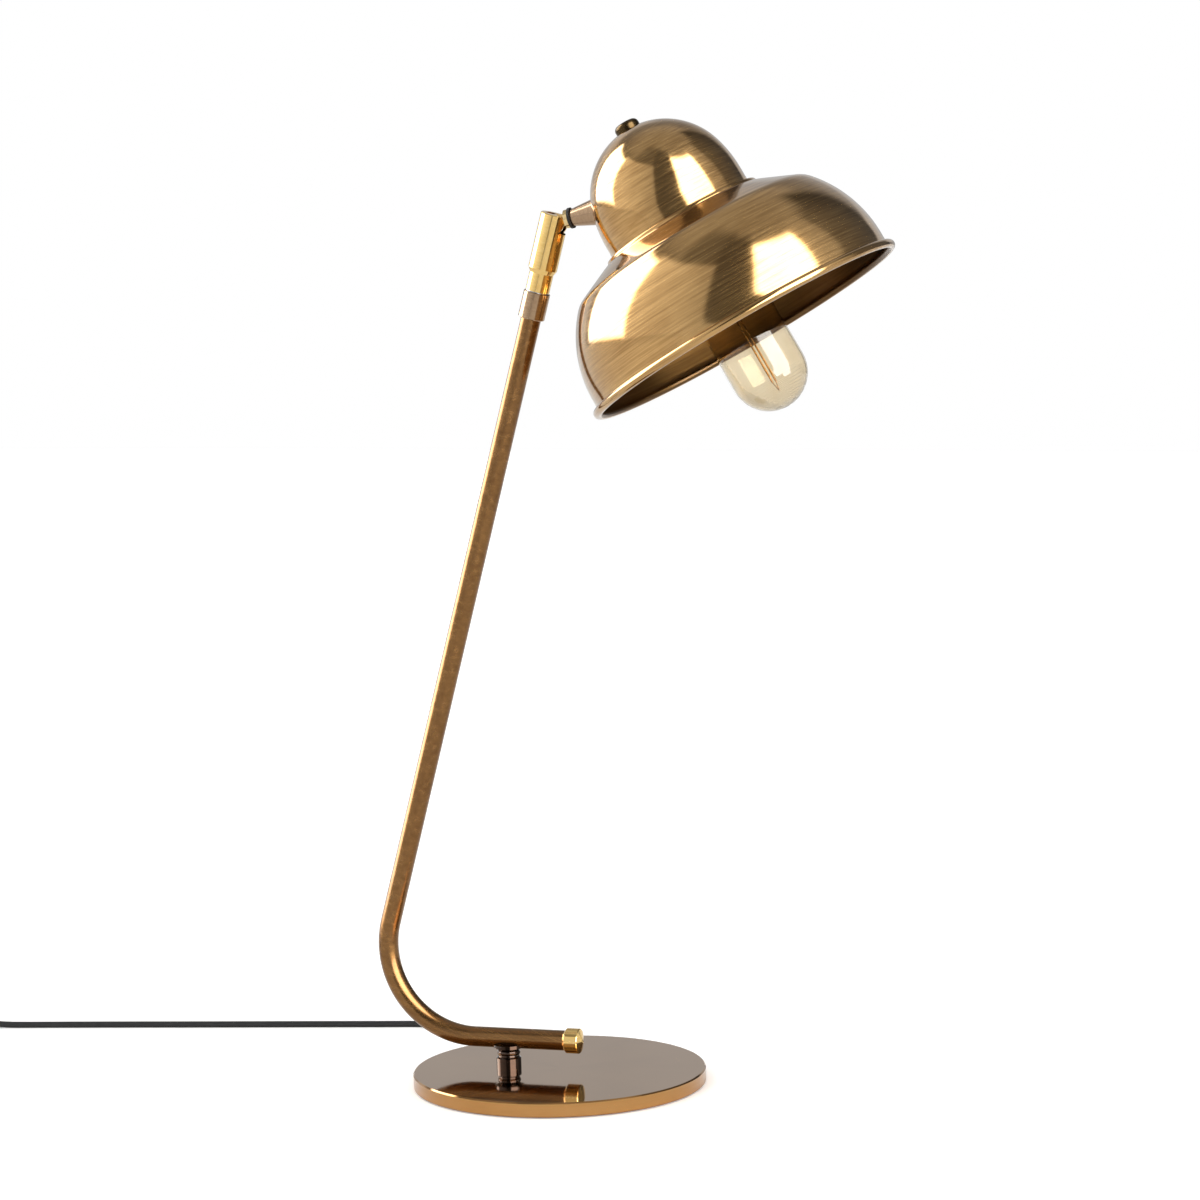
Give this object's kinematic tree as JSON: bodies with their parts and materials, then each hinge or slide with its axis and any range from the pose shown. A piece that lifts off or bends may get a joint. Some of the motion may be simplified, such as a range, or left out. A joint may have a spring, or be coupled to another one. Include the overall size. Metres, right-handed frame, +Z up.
{
  "type": "table lamp",
  "caption": "Table lamp with a round weighted foot, one bent tube, a swivel and tilt knuckle, a stepped metal shade with a rolled rim, a bulb and a corded in-line switch.",
  "frame": {"origin": "centre of the foot's underside, on the table", "axes": "+Z up; +X is where the shade faces and the foot tube's end plug points; +Y is the rear, where the cord leaves the foot"},
  "size_m": [0.7316, 0.2284, 0.5729],
  "materials": {
    "plate_brass": "antique brass plating on steel, fine brushed, lacquered",
    "tube_bronze": "bronze plating on drawn steel, satin",
    "shade_brass": "antique brass plating on spun steel, brushed, lacquered",
    "polished_brass": "turned and polished",
    "pale_brass": "turned, pale",
    "cone_brass": "fine brushed",
    "dark_bronze": "darkened bronze, satin",
    "black_bronze": "blackened, glossy",
    "thread_brass": "plain",
    "zinc_steel": "zinc plated",
    "black_rubber": "matt",
    "cord_black": "smooth sheath",
    "black_plastic": "moulded",
    "holder_black": "phenolic",
    "ceramic": "glazed",
    "amber_glass": "clear, pale amber",
    "gold_wire": "drawn",
    "copper_lead": "insulated wire"
  },
  "bodies": {
    "stand": {"base_plate": "plate_brass", "foot_tube": "tube_bronze", "bend_tube": "tube_bronze", "stem_tube": "tube_bronze", "stem_end_cap": "polished_brass", "stem_collar": "dark_bronze", "neck_ring": "black_bronze", "neck_saddle": "black_bronze", "neck_stud": "thread_brass", "stud_nut": "thread_brass", "cord_clamp": "zinc_steel", "clamp_screws": "zinc_steel", "stud_washer": "zinc_steel", "collar_screw": "zinc_steel", "rocker_pin": "zinc_steel", "switch_screws": "zinc_steel", "plug_pins": "zinc_steel", "base_pad": "black_rubber", "cord_grommet": "black_rubber", "cord_run": "cord_black", "cord_link": "cord_black", "cord_coil": "cord_black", "cord_tail": "cord_black", "stem_lead": "cord_black", "swivel_washer": "black_plastic", "cord_tie": "black_plastic", "switch_base": "black_plastic", "switch_cover": "black_plastic", "plug_body": "black_plastic", "switch_leads": "copper_lead"},
    "swivel": {"swivel_post": "polished_brass", "swivel_nut": "thread_brass", "knuckle_body": "polished_brass", "knuckle_screw": "polished_brass"},
    "head": {"arm_tongue": "pale_brass", "arm_ring": "black_rubber", "arm_cone": "cone_brass", "arm_washer": "zinc_steel", "arm_nut": "thread_brass", "dome_shell": "shade_brass", "bowl_shell": "shade_brass", "cap_nut": "dark_bronze", "holder_nipple": "thread_brass", "nipple_washer": "zinc_steel", "nipple_locknut": "thread_brass", "holder_cap": "holder_black", "holder_body": "holder_black", "holder_insert": "ceramic", "holder_thread": "thread_brass", "holder_contact": "thread_brass", "head_lead": "cord_black", "bulb_glass": "amber_glass", "bulb_cap": "thread_brass", "bulb_insulator": "holder_black", "bulb_contact": "zinc_steel", "bulb_mount": "amber_glass", "bulb_supports": "gold_wire", "bulb_filament": "gold_wire"},
    "rocker": {"switch_rocker": "black_plastic"}
  },
  "joints": [
    {"name": "head_swivel", "type": "hinge", "parent": "stand", "child": "swivel", "pos_m": [-0.00009, 0, 0.47314], "axis": [0.2672, 0, 0.9636], "range_deg": [-160, 160]},
    {"name": "head_tilt", "type": "hinge", "parent": "swivel", "child": "head", "pos_m": [0.01108, 0, 0.51342], "axis": [0, -1, 0], "range_deg": [-18, 60]},
    {"name": "switch_rocker", "type": "hinge", "parent": "stand", "child": "rocker", "pos_m": [-0.45934, 0.05856, 0.0124], "axis": [0.2079, -0.9781, 0], "range_deg": [-14, 0]}
  ]
}
